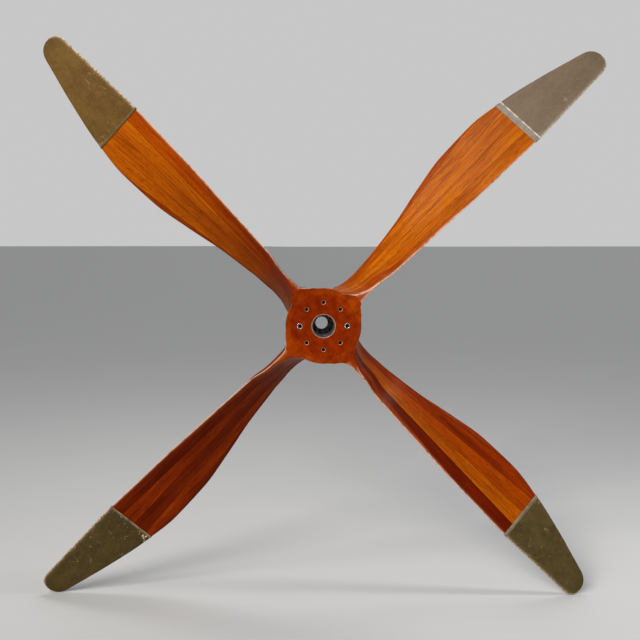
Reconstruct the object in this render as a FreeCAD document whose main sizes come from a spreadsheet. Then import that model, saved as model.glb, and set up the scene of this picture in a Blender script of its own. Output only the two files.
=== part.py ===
import FreeCAD, Part
import math
import os
from FreeCAD import Base

# Four-blade laminated wooden airscrew with fabric-sheathed tips.
# Origin: middle of the centre bore, half way through the boss.
# +Y runs along the shaft from the face seen first to the far face, +Z is up,
# and the blades stand at 45, 135, 225 and 315 degrees from +X towards +Z.

doc = FreeCAD.newDocument("airscrew")
sheet = doc.addObject("Spreadsheet::Sheet", "Sizes")

SIZES = {
    "tip_radius": 1409,
    "pitch_length": 2200,
    "pitch_shift": -10,
    "board_thick": 20,
    "board_count": 8,
    "board_end_5": 1340,
    "board_end_6": 1140,
    "board_end_7": 955,
    "board_end_8": 360,
    "lap_half": 100,
    "boss_radius_near": 138,
    "boss_radius_far": 116,
    "boss_round": 1.5,
    "bore_radius": 40,
    "sleeve_wall": 2.5,
    "sleeve_lip_radius": 23,
    "sleeve_lip_from": 58,
    "sleeve_lip_thick": 8,
    "bolt_circle_radius": 86,
    "bolt_hole_radius": 6.75,
    "bolt_hole_count": 8,
    "ferrule_radius": 10.5,
    "ferrule_length": 30,
    "peg_radius": 2.6,
    "peg_depth": 24,
    "edge_thick": 3,
    "tip_start": 1350,
    "sheath_thick": 1.2,
    "hem_thick": 0.9,
    "sheath_start_a1": 1016,
    "sheath_start_b1": 1018,
    "sheath_start_a2": 1018,
    "sheath_start_b2": 1040,
    "hem_width_a1": 27,
    "hem_width_b1": 9,
    "hem_width_a2": 9,
    "hem_width_b2": 14,
}

# Blade stations: distance from the axis, offset of the trailing and of the
# leading edge from the blade's centre line, and greatest thickness.
BLADE = (
    (330, -47, 57, 56),
    (450, -54, 73, 48),
    (600, -62, 102, 40),
    (750, -70, 125, 32),
    (900, -74, 129, 25),
    (1050, -78, 109, 19),
    (1200, -75, 74, 13.5),
    (1330, -72, 37, 9),
    (1409, -70, 14, 6),
)

# Root stations: distance from the axis, then nine points (offset, depth)
# round the section: upper end of the driving face, its lower end, the nose,
# five points over the back, and the wall where the back meets the near face.
ROOT = (
    (88, (96, -92), (66, 56), (62, 65), (55, 71), (26, 74), (-12, 74), (-56, 66),
     (-80, 6), (-107, -92)),
    (100, (84, -92), (64, 56), (61, 65), (54, 71), (27, 74), (-10, 74), (-54, 66),
     (-74, 6), (-97, -92)),
    (128, (40, -92), (58, 55), (58, 65), (51, 71), (29, 75), (-5, 75), (-43, 63),
     (-58, 6), (-68.5, -92)),
    (148, (10, -92), (50, 54), (51, 63), (45, 70), (26, 75), (-5, 74), (-32, 57),
     (-42, 3), (-46, -92)),
    (165, (-9, -91), (46, 53), (47.5, 61), (42, 69), (24, 74), (-3, 73), (-28, 52),
     (-35, 0), (-37, -91)),
    (188, (-20, -89), (43, 51), (45, 59), (40, 67), (22, 72), (-4, 70), (-27, 47),
     (-34, -4), (-34, -89)),
    (210, (-28, -86), (42, 49), (44, 57), (38, 64), (20, 70), (-5, 66), (-27, 42),
     (-34, -8), (-34, -86)),
    (256, (-34, -81), (44, 45), (47, 52), (39, 60), (19, 65), (-7, 60), (-28, 34),
     (-37, -14), (-36.5, -79)),
)

# Share of the chord, and of the greatest thickness, at the five back points.
BACK = ((0.035, 0.36), (0.12, 0.68), (0.30, 0.97), (0.55, 0.90), (0.80, 0.52))

# Lamination pegs on the driving face: distance from the axis and offset.
PEGS = (
    (417, 40), (417, 6),
    (640, 83), (640, 20), (640, -31),
    (860, 83), (860, 40), (860, -7),
)

BLADE_ANGLES = {"a1": 45, "b1": 135, "a2": 225, "b2": 315}

row = 1
for alias, value in SIZES.items():
    sheet.set("A%d" % row, alias)
    sheet.set("B%d" % row, str(value))
    sheet.setAlias("B%d" % row, alias)
    row += 1
for radius, trail, lead, thick in BLADE:
    for word, value in (("trail", trail), ("lead", lead), ("thick", thick)):
        alias = "%s_at_%d" % (word, radius)
        sheet.set("A%d" % row, alias)
        sheet.set("B%d" % row, str(value))
        sheet.setAlias("B%d" % row, alias)
        row += 1
doc.recompute()


def size(alias):
    """A size read back from the sheet, as a plain number."""
    return float(sheet.get(alias))


def curve_through(knots):
    """Shape-keeping cubic through (x, value) knots; returns a function."""
    xs = [k[0] for k in knots]
    ys = [k[1] for k in knots]
    steps = [b - a for a, b in zip(xs, xs[1:])]
    slopes = [(b - a) / h for a, b, h in zip(ys, ys[1:], steps)]
    tangents = [slopes[0]]
    for i in range(1, len(xs) - 1):
        before, after = slopes[i - 1], slopes[i]
        if before * after <= 0:
            tangents.append(0.0)
            continue
        w_before = 2 * steps[i] + steps[i - 1]
        w_after = steps[i] + 2 * steps[i - 1]
        tangents.append((w_before + w_after) / (w_before / before + w_after / after))
    tangents.append(slopes[-1])

    def value(x):
        i = 0
        while i < len(steps) - 1 and x > xs[i + 1]:
            i += 1
        h = steps[i]
        t = (x - xs[i]) / h
        return (
            ys[i] * (1 + 2 * t) * (1 - t) ** 2
            + tangents[i] * h * t * (1 - t) ** 2
            + ys[i + 1] * t * t * (3 - 2 * t)
            - tangents[i + 1] * h * t * t * (1 - t)
        )

    return value


def blade_law(word):
    return curve_through([(b[0], size("%s_at_%d" % (word, b[0]))) for b in BLADE])


TRAIL = blade_law("trail")
LEAD = blade_law("lead")
THICK = blade_law("thick")


def blade_section(radius):
    """Nine section points on the working part of the blade."""
    slope = size("pitch_length") / (2 * math.pi * radius)
    shift = size("pitch_shift")
    trail, lead = TRAIL(radius), LEAD(radius)
    thick = THICK(radius)
    start = size("tip_start")
    if radius > start:
        share = (radius - start) / (size("tip_radius") - start)
        half = (lead - trail) / 2 * math.sqrt(1 - share ** 4)
        middle = (lead + trail) / 2
        trail, lead = middle - half, middle + half
        thick *= 0.55 + 0.45 * math.sqrt(1 - share ** 4)
    length = math.hypot(1, slope)
    along = (-1 / length, -slope / length)
    normal = (-slope / length, 1 / length)
    chord = (lead - trail) * length
    nose = (lead, shift + slope * lead)
    edge = min(size("edge_thick"), thick * 0.6)

    def at(share, up):
        run = share * chord
        return (
            nose[0] + along[0] * run + normal[0] * up,
            nose[1] + along[1] * run + normal[1] * up,
        )

    points = [at(1, 0), at(0.035, 0), at(0, 0.17 * thick)]
    points += [at(share, height * thick) for share, height in BACK]
    points.append(at(1, edge))
    return points


def grown(points, grow):
    """The closed outline moved outwards, every side by the same distance."""
    count = len(points)
    turn = sum(
        points[i - 1][0] * points[i][1] - points[i][0] * points[i - 1][1]
        for i in range(count)
    )
    side = 1 if turn > 0 else -1
    moved = []
    for i, point in enumerate(points):
        before, after = points[i - 1], points[(i + 1) % count]
        normals = []
        for start, finish in ((before, point), (point, after)):
            run = math.hypot(finish[0] - start[0], finish[1] - start[1])
            normals.append(
                (side * (finish[1] - start[1]) / run, -side * (finish[0] - start[0]) / run)
            )
        total = (normals[0][0] + normals[1][0], normals[0][1] + normals[1][1])
        square = total[0] ** 2 + total[1] ** 2
        moved.append(
            (point[0] + 2 * grow * total[0] / square, point[1] + 2 * grow * total[1] / square)
        )
    return moved


def key_points():
    """Interpolating laws for the nine section points, root to tip start."""
    rows = [(r[0], r[1:]) for r in ROOT]
    rows += [(r, blade_section(r)) for r in (330, 390, 450)]
    laws = []
    for i in range(9):
        laws.append(
            (
                curve_through([(radius, points[i][0]) for radius, points in rows]),
                curve_through([(radius, points[i][1]) for radius, points in rows]),
            )
        )
    return laws


ROOT_LAWS = key_points()


def section_points(radius, grow=0.0):
    if radius < 450:
        return [(s(radius), y(radius)) for s, y in ROOT_LAWS]
    start = size("tip_start")
    if radius > start:
        span = size("tip_radius") - start
        radius = start + (radius - start) * span / (span + grow)
    points = blade_section(radius)
    return grown(points, grow) if grow else points


def section_wire(radius, grow=0.0):
    points = [Base.Vector(radius, y, s) for s, y in section_points(radius, grow)]
    face = Part.LineSegment(points[0], points[1]).toShape()
    back = Part.BSplineCurve()
    back.interpolate(points[1:])
    edge = Part.LineSegment(points[8], points[0]).toShape()
    return Part.Wire([face, back.toShape(), edge])


def tip_stations(grow):
    start = size("tip_start")
    reach = size("tip_radius") + grow - start
    return [start + reach * share for share in (0.25, 0.5, 0.68, 0.81, 0.9, 0.955, 0.985)]


def loft(stations, grow=0.0):
    return Part.makeLoft([section_wire(r, grow) for r in stations], True, False)


def turned(shape, degrees):
    """Turned about the shaft, from +X towards +Z."""
    copy = shape.copy()
    copy.rotate(Base.Vector(0, 0, 0), Base.Vector(0, -1, 0), degrees)
    return copy


def box(x0, x1, y0, y1, z0, z1):
    return Part.makeBox(x1 - x0, y1 - y0, z1 - z0, Base.Vector(x0, y0, z0))


def rod(radius, x, z, y0, y1):
    return Part.makeCylinder(
        radius, y1 - y0, Base.Vector(x, y0, z), Base.Vector(0, 1, 0)
    )


half_depth = size("board_thick") * size("board_count") / 2
reach = size("tip_radius") + 60

# One blade, root to tip, trimmed to the depth of the stack of boards.
ROOT_STATIONS = [88, 100, 112, 128, 138, 148, 157, 165, 176, 188, 210, 232, 256, 290, 330, 390]
MAIN_STATIONS = [450, 525, 600, 675, 750, 825, 900, 975, 1050, 1110, 1170, 1230, 1290]
blade_stations = ROOT_STATIONS + MAIN_STATIONS + [size("tip_start")] + tip_stations(0)
blade = loft(blade_stations)
trimmed = blade.common(box(80, reach, -half_depth, half_depth, -300, 300))

# The boss: a turned, slightly coned block with rounded rims.
near = size("boss_radius_near")
far = size("boss_radius_far")
rounding = size("boss_round")
cone = Part.makeCone(
    near, far, 2 * half_depth, Base.Vector(0, -half_depth, 0), Base.Vector(0, 1, 0)
)
rims = [e for e in cone.Edges if e.Closed and e.BoundBox.YLength < 0.01]
boss = cone.makeFillet(rounding, rims)

# Pegs, cut flush with the driving face.
pegs = []
for distance, offset in PEGS:
    slope = size("pitch_length") / (2 * math.pi * distance)
    surface = size("pitch_shift") + slope * offset
    pegs.append(
        rod(size("peg_radius"), distance, offset, surface - 12, surface + size("peg_depth"))
    )
blade_pegs = [trimmed.common(p) for p in pegs]
bored = trimmed
for peg in pegs:
    bored = bored.cut(peg)

wood = boss.fuse([turned(bored, angle) for angle in BLADE_ANGLES.values()])
tools = [rod(size("bore_radius") + size("sleeve_wall"), 0, 0, -200, 200)]
bolt_count = int(size("bolt_hole_count"))
circle = size("bolt_circle_radius")
for i in range(bolt_count):
    angle = 2 * math.pi * i / bolt_count
    tools.append(
        rod(size("bolt_hole_radius"), circle * math.cos(angle), circle * math.sin(angle), -200, 200)
    )
for side in (-1, 1):
    tools.append(
        rod(size("ferrule_radius"), side * circle, 0, -200, -half_depth + size("ferrule_length"))
    )
wood = wood.cut(tools)

parts = []


def add_shape(label, shape):
    item = doc.addObject("Part::Feature", label)
    item.Label = label
    item.Shape = shape
    parts.append(item)


# Each layer is two crossing boards, halved together at the boss. A far board
# stops where less than a feather edge of it is left, and the board below it
# carries the surface on from there.
lap = size("lap_half")
board = size("board_thick")
ends = [reach] * 4 + [size("board_end_%d" % number) for number in (5, 6, 7, 8)]
for layer in range(int(size("board_count"))):
    top = -half_depth + layer * board
    bottom = top + board
    middle = (top + bottom) / 2
    for name, first_angle, lap_from, lap_to in (
        ("a", 45, middle, bottom),
        ("b", 135, top, middle),
    ):
        arm = box(lap, ends[layer], top, bottom, -190, 190)
        if layer > 2 and layer < 7:
            arm = arm.fuse(box(ends[layer + 1], ends[layer], bottom, bottom + board, -190, 190))
        square = box(-lap, lap, lap_from, lap_to, -lap, lap)
        tool = turned(arm, first_angle).fuse(
            [turned(square, first_angle), turned(arm, first_angle + 180)]
        )
        add_shape("board_%s%d" % (name, layer + 1), wood.common(tool.removeSplitter()))

# The sheath and the hem are lofted through the blade's own stations, from well
# inboard, so that they keep an even distance from the wood.
grow = size("sheath_thick")
hem_grow = grow + size("hem_thick")
inboard = [s for s in MAIN_STATIONS if s >= 600] + [size("tip_start")]
cover = loft(inboard + tip_stations(grow), grow)
hem_cover = loft(inboard + tip_stations(hem_grow), hem_grow)


def outboard(shape, start, width=0.0):
    """The stretch of a shape that begins at start, as long as width if given."""
    finish = start + width if width else reach
    return shape.common(box(start, finish, -half_depth, half_depth, -300, 300))


for blade_name, angle in BLADE_ANGLES.items():
    start = size("sheath_start_" + blade_name)
    width = size("hem_width_" + blade_name)
    sheath = outboard(cover, start).cut(blade)
    hem = outboard(hem_cover, start, width).cut(cover)
    add_shape("tip_sheath_%s" % blade_name, turned(sheath, angle))
    add_shape("tip_hem_%s" % blade_name, turned(hem, angle))
    peg_group = Part.makeCompound([turned(p, angle) for p in blade_pegs])
    add_shape("pegs_%s" % blade_name, peg_group)

# Steel sleeve lining the centre bore, with an in-turned lip near its far end.
ALONG_Y = Base.Rotation(Base.Vector(1, 0, 0), -90)
DEPTH = "Sizes.board_thick * Sizes.board_count"


def cylinder(label, radius, height, x="0", y="0"):
    """A cylinder along the shaft, each size given as an expression."""
    item = doc.addObject("Part::Cylinder", label)
    item.Placement = FreeCAD.Placement(Base.Vector(0, 0, 0), ALONG_Y)
    item.setExpression("Radius", radius)
    item.setExpression("Height", height)
    item.setExpression("Placement.Base.x", x)
    item.setExpression("Placement.Base.y", y)
    return item


outside = cylinder(
    "sleeve_outside", "Sizes.bore_radius + Sizes.sleeve_wall", DEPTH, y="-(%s) / 2" % DEPTH
)
front_bore = cylinder(
    "sleeve_front_bore",
    "Sizes.bore_radius",
    "(%s) / 2 + Sizes.sleeve_lip_from + 10" % DEPTH,
    y="-(%s) / 2 - 10" % DEPTH,
)
lip_bore = cylinder(
    "sleeve_lip_bore", "Sizes.sleeve_lip_radius", "Sizes.sleeve_lip_thick + 20",
    y="Sizes.sleeve_lip_from - 10",
)
back_bore = cylinder(
    "sleeve_back_bore",
    "Sizes.bore_radius",
    DEPTH,
    y="Sizes.sleeve_lip_from + Sizes.sleeve_lip_thick",
)
hollow = doc.addObject("Part::MultiFuse", "sleeve_hollow")
hollow.Shapes = [front_bore, lip_bore, back_bore]
sleeve = doc.addObject("Part::Cut", "bore_sleeve")
sleeve.Base = outside
sleeve.Tool = hollow
sleeve.Label = "bore_sleeve"
parts.append(sleeve)

# Two short metal ferrules line the bolt holes on the level diameter.
ferrules = []
for side, sign in (("left", "-"), ("right", "")):
    place = {"x": sign + "Sizes.bolt_circle_radius", "y": "-(%s) / 2" % DEPTH}
    tube = cylinder(
        "ferrule_%s_outside" % side, "Sizes.ferrule_radius", "Sizes.ferrule_length", **place
    )
    hole = cylinder(
        "ferrule_%s_hole" % side, "Sizes.bolt_hole_radius", "Sizes.ferrule_length", **place
    )
    ferrule = doc.addObject("Part::Cut", "ferrule_%s" % side)
    ferrule.Base = tube
    ferrule.Tool = hole
    ferrules.append(ferrule)
pair = doc.addObject("Part::Compound", "bolt_ferrules")
pair.Links = ferrules
pair.Label = "bolt_ferrules"
parts.append(pair)

doc.recompute()

os.makedirs("parts", exist_ok=True)
for item in parts:
    shape = item.Shape
    if "Invalid" in item.State or "Error" in item.State:
        raise SystemExit("%s did not rebuild" % item.Label)
    if shape.isNull() or not shape.isValid() or not shape.Solids:
        raise SystemExit("%s is not a good solid" % item.Label)
    shape.exportStep("parts/%s.step" % item.Label)
    bound = shape.BoundBox
    print(
        item.Label, len(shape.Solids), round(shape.Volume / 1000, 1), "cm3",
        [round(v, 1) for v in (bound.XMin, bound.XMax, bound.YMin, bound.YMax, bound.ZMin, bound.ZMax)],
    )
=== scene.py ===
import math

import bmesh
import bpy
import numpy as np
from mathutils import Matrix, Vector


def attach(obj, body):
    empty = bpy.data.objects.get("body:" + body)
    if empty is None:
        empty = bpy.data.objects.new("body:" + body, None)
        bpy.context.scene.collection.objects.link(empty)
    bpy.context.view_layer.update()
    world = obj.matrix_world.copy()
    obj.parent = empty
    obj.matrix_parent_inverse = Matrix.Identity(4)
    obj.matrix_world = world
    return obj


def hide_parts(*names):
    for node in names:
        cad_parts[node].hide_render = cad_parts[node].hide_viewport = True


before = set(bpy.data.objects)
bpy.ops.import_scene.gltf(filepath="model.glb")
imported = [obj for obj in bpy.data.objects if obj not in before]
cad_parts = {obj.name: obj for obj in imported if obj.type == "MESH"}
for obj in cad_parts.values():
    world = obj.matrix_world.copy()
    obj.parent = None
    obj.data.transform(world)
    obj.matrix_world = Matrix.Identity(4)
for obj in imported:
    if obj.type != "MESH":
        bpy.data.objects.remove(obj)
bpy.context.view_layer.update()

scene = bpy.context.scene
MM = 0.001

# ---- sizes, in mm
PITCH, SHIFT = 2200.0, -10.0
HALF_DEPTH = 80.0
NEAR_PLANE = -HALF_DEPTH + 0.015
LAYERS, BOARD, LAP = 8, 20.0, 100.0
TIP_START, TIP, PAST_THE_TIP = 1350.0, 1409.0, 2000.0
EDGE = 3.0
BOSS_NEAR, BOSS_FAR = 138.0, 116.0
BORE, WALL = 40.0, 2.5
STEP_BORE, STEP_DEPTHS = 23.0, (58, 66)
HOLES, CIRCLE, HOLE = 8, 86.0, 6.75
FERRULE, FERRULE_LENGTH = 10.5, 30.0
SHEATH, HEM = 1.2, 0.9

# Radius, trailing and leading offsets, thickness.
BLADE = (
    (330, -47, 57, 56),
    (450, -54, 73, 48),
    (600, -62, 102, 40),
    (750, -70, 125, 32),
    (900, -74, 129, 25),
    (1050, -78, 109, 19),
    (1200, -75, 74, 13.5),
    (1330, -72, 37, 9),
    (1409, -70, 14, 6),
)
# Radius, then the nine points of the section as (offset, depth).
ROOT_ENDS, BLADES_FROM, WHOLE_FROM = 88, 128, 450
ROOT = (
    (88, (96, -92), (66, 56), (62, 65), (55, 71), (26, 74), (-12, 74), (-56, 66),
     (-80, 6), (-107, -92)),
    (100, (84, -92), (64, 56), (61, 65), (54, 71), (27, 74), (-10, 74), (-54, 66),
     (-74, 6), (-97, -92)),
    (128, (40, -92), (58, 55), (58, 65), (51, 71), (29, 75), (-5, 75), (-43, 63),
     (-58, 6), (-68.5, -92)),
    (148, (10, -92), (50, 54), (51, 63), (45, 70), (26, 75), (-5, 74), (-32, 57),
     (-42, 3), (-46, -92)),
    (165, (-9, -91), (46, 53), (47.5, 61), (42, 69), (24, 74), (-3, 73), (-28, 52),
     (-35, 0), (-37, -91)),
    (188, (-20, -89), (43, 51), (45, 59), (40, 67), (22, 72), (-4, 70), (-27, 47),
     (-34, -4), (-34, -89)),
    (210, (-28, -86), (42, 49), (44, 57), (38, 64), (20, 70), (-5, 66), (-27, 42),
     (-34, -8), (-34, -86)),
    (256, (-34, -81), (44, 45), (47, 52), (39, 60), (19, 65), (-7, 60), (-28, 34),
     (-37, -14), (-36.5, -79)),
)
# Height of the cambered back, as shares of the chord and of the thickness.
BACK = ((0.035, 0.36), (0.12, 0.68), (0.30, 0.97), (0.55, 0.90), (0.80, 0.52))
# Radius and offset of each peg.
PEGS = (
    (417, 40), (417, 6),
    (640, 83), (640, 20), (640, -31),
    (860, 83), (860, 40), (860, -7),
)
# Radius where the layers that stop short of the tip end, counted from 0.
BOARD_ENDS = {4: 1340, 5: 1140, 6: 955, 7: 360}
ANGLES = {"a1": 45, "b1": 135, "a2": 225, "b2": 315}
SHEATH_START = {"a1": 1016, "b1": 1018, "a2": 1018, "b2": 1040}
HEM_WIDTH = {"a1": 27, "b1": 9, "a2": 9, "b2": 14}
# Radius from which the upper corner of the trailing edge is worn bare and given a painted
# highlight.
CREST_FROM = {"a1": 155, "b1": 330, "a2": 330, "b2": 195}


# ---- blade geometry
def curve_through(knots):
    """Shape-keeping cubic through (x, value) knots; returns a function."""
    xs = [k[0] for k in knots]
    ys = [k[1] for k in knots]
    steps = [b - a for a, b in zip(xs, xs[1:])]
    slopes = [(b - a) / h for a, b, h in zip(ys, ys[1:], steps)]
    tangents = [slopes[0]]
    for i in range(1, len(xs) - 1):
        before, after = slopes[i - 1], slopes[i]
        if before * after <= 0:
            tangents.append(0.0)
            continue
        w_before = 2 * steps[i] + steps[i - 1]
        w_after = steps[i] + 2 * steps[i - 1]
        tangents.append((w_before + w_after) / (w_before / before + w_after / after))
    tangents.append(slopes[-1])

    def value(x):
        i = 0
        while i < len(steps) - 1 and x > xs[i + 1]:
            i += 1
        h = steps[i]
        t = (x - xs[i]) / h
        return (
            ys[i] * (1 + 2 * t) * (1 - t) ** 2
            + tangents[i] * h * t * (1 - t) ** 2
            + ys[i + 1] * t * t * (3 - 2 * t)
            - tangents[i + 1] * h * t * t * (1 - t)
        )

    return value


TRAIL = curve_through([(b[0], b[1]) for b in BLADE])
LEAD = curve_through([(b[0], b[2]) for b in BLADE])
THICK = curve_through([(b[0], b[3]) for b in BLADE])


def blade_section(radius):
    """Nine section points (offset, depth) on the working part of the blade."""
    slope = PITCH / (2 * math.pi * radius)
    trail, lead, thick = TRAIL(radius), LEAD(radius), THICK(radius)
    if radius > TIP_START:
        share = min((radius - TIP_START) / (TIP - TIP_START), 0.9995)
        round_off = math.sqrt(1 - share ** 4)
        half = (lead - trail) / 2 * round_off
        middle = (lead + trail) / 2
        trail, lead = middle - half, middle + half
        thick *= 0.55 + 0.45 * round_off
    length = math.hypot(1, slope)
    along = (-1 / length, -slope / length)
    normal = (-slope / length, 1 / length)
    chord = (lead - trail) * length
    nose = (lead, SHIFT + slope * lead)
    edge = min(EDGE, thick * 0.6)

    def at(share, up):
        run = share * chord
        return (
            nose[0] + along[0] * run + normal[0] * up,
            nose[1] + along[1] * run + normal[1] * up,
        )

    points = [at(1, 0), at(0.035, 0), at(0, 0.17 * thick)]
    points += [at(share, height * thick) for share, height in BACK]
    points.append(at(1, edge))
    return points


ROOT_ROWS = [(r[0], r[1:]) for r in ROOT]
ROOT_ROWS += [(r, blade_section(r)) for r in (330, 390, WHOLE_FROM)]
ROOT_LAWS = [
    [curve_through([(r, p[i][axis]) for r, p in ROOT_ROWS]) for axis in (0, 1)]
    for i in range(9)
]


def section_points(radius):
    if radius < WHOLE_FROM:
        return [(s(radius), y(radius)) for s, y in ROOT_LAWS]
    return blade_section(radius)


def natural_spline(points, samples):
    """Cubic spline through the points, by chord length, evenly sampled in it."""
    p = np.array(points, float)
    run = np.concatenate([[0], np.cumsum(np.linalg.norm(np.diff(p, axis=0), axis=1))])
    n = len(p)
    h = np.diff(run)
    a = np.zeros((n, n))
    b = np.zeros((n, 2))
    a[0, 0] = a[-1, -1] = 1
    for i in range(1, n - 1):
        a[i, i - 1], a[i, i], a[i, i + 1] = h[i - 1], 2 * (h[i - 1] + h[i]), h[i]
        b[i] = 6 * ((p[i + 1] - p[i]) / h[i] - (p[i] - p[i - 1]) / h[i - 1])
    m = np.linalg.solve(a, b)
    x = np.linspace(0, run[-1], samples)
    k = np.clip(np.searchsorted(run, x, side="right") - 1, 0, n - 2)
    t0 = (run[k + 1] - x)[:, None]
    t1 = (x - run[k])[:, None]
    hk = h[k][:, None]
    return (
        m[k] * t0 ** 3 / (6 * hk)
        + m[k + 1] * t1 ** 3 / (6 * hk)
        + (p[k] / hk - m[k] * hk / 6) * t0
        + (p[k + 1] / hk - m[k + 1] * hk / 6) * t1
    )


def cut_at(line, depth):
    """The part of a line, which starts above, that lies below the near plane."""
    for i in range(len(line) - 1):
        if line[i, 1] < depth <= line[i + 1, 1]:
            t = (depth - line[i, 1]) / (line[i + 1, 1] - line[i, 1])
            first = line[i] + t * (line[i + 1] - line[i])
            return np.vstack([first, line[i + 1:]])
    return line


def resample(line, shares):
    run = np.concatenate([[0], np.cumsum(np.linalg.norm(np.diff(line, axis=0), axis=1))])
    x = np.asarray(shares) * run[-1]
    return np.stack([np.interp(x, run, line[:, 0]), np.interp(x, run, line[:, 1])], 1)


FACE_SAMPLES, BACK_SAMPLES, CORNER_SAMPLES, EDGE_SAMPLES = 26, 74, 5, 3
ROUNDING, ROOT_ROUNDING, MOST_OF_EDGE = 2.6, 4.5, 0.47


def face_and_back(radius):
    """Both sides of a section from the trailing edge on, cut at the near plane."""
    p = section_points(radius)
    face = resample(np.array([p[0], p[1]], float), np.linspace(0, 1, 60))
    return cut_at(face, NEAR_PLANE), cut_at(natural_spline(p[1:], 240)[::-1], NEAR_PLANE)


def outline(radius):
    """Closed outline of a section, its corners rounded, more so at the root."""
    face, back = face_and_back(radius)
    upper, rear = face[0], back[0]
    edge = np.linalg.norm(upper - rear)
    d = min(ROUNDING, MOST_OF_EDGE * edge)
    face_length = np.linalg.norm(np.diff(face, axis=0), axis=1).sum()
    back_length = np.linalg.norm(np.diff(back, axis=0), axis=1).sum()
    root = min(1.0, max(0.0, (330 - radius) / 130))
    soft = min(d + (ROOT_ROUNDING - d) * root, 0.2 * face_length)
    x = np.linspace(0, 1, FACE_SAMPLES)
    face_run = resample(face, soft / face_length + (1 - soft / face_length) * x ** 1.25)
    x = np.linspace(0, 1, BACK_SAMPLES)
    fan = 0.5 - 0.5 * np.cos(math.pi * x)
    shares = 0.55 * x + 0.45 * fan
    back_run = resample(back, d / back_length + (1 - d / back_length) * shares)[::-1]
    along = (upper - rear) / max(edge, 1e-6)
    t = np.linspace(0, 1, CORNER_SAMPLES + 2)[1:-1, None]
    rear_end = rear + along * d
    rear_corner = (1 - t) ** 2 * back_run[-1] + 2 * t * (1 - t) * rear + t ** 2 * rear_end
    upper_start = upper - along * min(soft, MOST_OF_EDGE * edge)
    upper_corner = (
        (1 - t) ** 2 * upper_start + 2 * t * (1 - t) * upper + t ** 2 * face_run[0]
    )
    x = np.linspace(0, 1, EDGE_SAMPLES)[:, None]
    flat = rear_end * (1 - x) + upper_start * x
    return np.vstack([face_run, back_run[1:], rear_corner, flat, upper_corner])


def grown(points, amount):
    """Outline moved outwards along its own normals."""
    ahead = np.roll(points, -1, 0) - points
    ahead /= np.maximum(np.linalg.norm(ahead, axis=1), 1e-9)[:, None]
    turn = ahead + np.roll(ahead, 1, 0)
    turn /= np.maximum(np.linalg.norm(turn, axis=1), 1e-9)[:, None]
    out = np.stack([turn[:, 1], -turn[:, 0]], 1)
    area = 0.5 * np.sum(
        points[:, 0] * np.roll(points[:, 1], -1) - np.roll(points[:, 0], -1) * points[:, 1]
    )
    return points + out * (amount if area > 0 else -amount)


def stations(first, last, step):
    count = max(2, int(round((last - first) / step)) + 1)
    return list(np.linspace(first, last, count))


def tip_stations(count=16):
    reach = TIP - TIP_START
    return [TIP_START + reach * math.sin(math.pi / 2 * i / count) for i in range(1, count)] + [
        TIP_START + reach * share for share in (0.9982, 0.9995)
    ]


def placed(radius, points, angle):
    """Section points as frame positions, in metres, for a blade at an angle."""
    c, s = math.cos(math.radians(angle)), math.sin(math.radians(angle))
    r, o, y = radius, points[:, 0], points[:, 1]
    return np.stack([r * c - o * s, y, r * s + o * c], 1) * MM


def skin(rows, closed=True):
    """Vertices and faces of a tube through rows of points."""
    count = len(rows[0])
    verts = np.vstack(rows)
    faces = []
    for i in range(len(rows) - 1):
        for j in range(count):
            k = (j + 1) % count
            faces.append((i * count + j, i * count + k, (i + 1) * count + k, (i + 1) * count + j))
    if closed:
        last = (len(rows) - 1) * count
        faces += [tuple(range(count))[::-1], tuple(range(last, last + count))]
    return verts, faces


def joined(shapes):
    """Several (vertices, faces) shapes as one."""
    verts, faces = [], []
    for shape_verts, shape_faces in shapes:
        faces += [tuple(len(verts) + v for v in face) for face in shape_faces]
        verts += list(shape_verts)
    return verts, faces


def closed_mesh(name, verts, faces, sharp_degrees=None):
    """A mesh with its faces turned outwards, and smoothed if an angle is given."""
    mesh = bpy.data.meshes.new(name)
    mesh.from_pydata([tuple(v) for v in verts], [], faces)
    mesh.validate()
    bm = bmesh.new()
    bm.from_mesh(mesh)
    bmesh.ops.recalc_face_normals(bm, faces=bm.faces)
    if sharp_degrees:
        smooth_by_angle(bm, sharp_degrees)
    bm.to_mesh(mesh)
    bm.free()
    return mesh


def link(name, mesh, material=None):
    obj = bpy.data.objects.new(name, mesh)
    scene.collection.objects.link(obj)
    if material:
        mesh.materials.append(material)
    return obj


def cut_between(bm, low, high, normal=(0, 1, 0)):
    """Keeps what lies between two planes across the normal, and closes it."""
    axis = Vector(normal)
    for place, side in ((low, -1), (high, 1)):
        if place is None:
            continue
        geom = bm.verts[:] + bm.edges[:] + bm.faces[:]
        cut = bmesh.ops.bisect_plane(
            bm, geom=geom, dist=1e-7, plane_co=axis * place, plane_no=axis * side,
            clear_outer=True, clear_inner=False,
        )
        edges = [e for e in cut["geom_cut"] if isinstance(e, bmesh.types.BMEdge)]
        if edges:
            bmesh.ops.holes_fill(bm, edges=edges, sides=0)


FLAT = 0.999


def smooth_by_angle(bm, degrees):
    """Smooth faces with sharp edges past an angle and around large flat cuts."""
    limit = math.radians(degrees)
    for face in bm.faces:
        face.smooth = True
    for edge in bm.edges:
        if len(edge.link_faces) == 2:
            edge.smooth = edge.calc_face_angle(0) < limit
    for face in bm.faces:
        if len(face.verts) > 12 and abs(face.normal.y) > FLAT:
            for edge in face.edges:
                edge.smooth = False


def blade_tube(angle):
    radii = stations(95, 265, 3.4)[:-1] + stations(265, WHOLE_FROM, 7.5)[:-1]
    radii += stations(WHOLE_FROM, TIP_START, 12) + tip_stations()
    return skin([placed(radius, outline(radius), angle) for radius in radii])


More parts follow.
